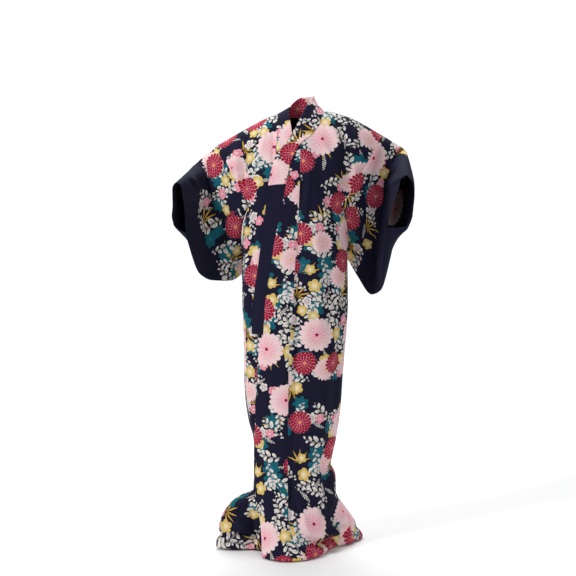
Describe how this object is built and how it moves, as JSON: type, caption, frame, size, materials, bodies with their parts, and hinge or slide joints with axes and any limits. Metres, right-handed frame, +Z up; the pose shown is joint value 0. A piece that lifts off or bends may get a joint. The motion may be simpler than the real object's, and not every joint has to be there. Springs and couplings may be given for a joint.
{
  "type": "yukata robe",
  "caption": "A women's cotton yukata worn open, left front over right, with hanging square sleeves, a collar band and a long hem that pools on the floor.",
  "frame": {"origin": "between the shoulders at the height of the shoulder line beside the neck, where the robe hangs from its wearer", "axes": "+Z up, the wearer faces -Y, the wearer's left is +X"},
  "size_m": [0.7481, 0.385, 1.442],
  "materials": {
    "printed_cotton": "matte plain-weave cotton, navy ground with a dense floral print",
    "plain_cotton": "matte plain-weave cotton, plain navy"
  },
  "bodies": {
    "root": {"right_body_panel": "printed_cotton", "left_body_panel": "printed_cotton", "right_overlap": "printed_cotton", "left_overlap": "printed_cotton", "collar": "plain_cotton", "over_collar": "printed_cotton", "right_sleeve": "printed_cotton", "left_sleeve": "printed_cotton"}
  },
  "joints": []
}
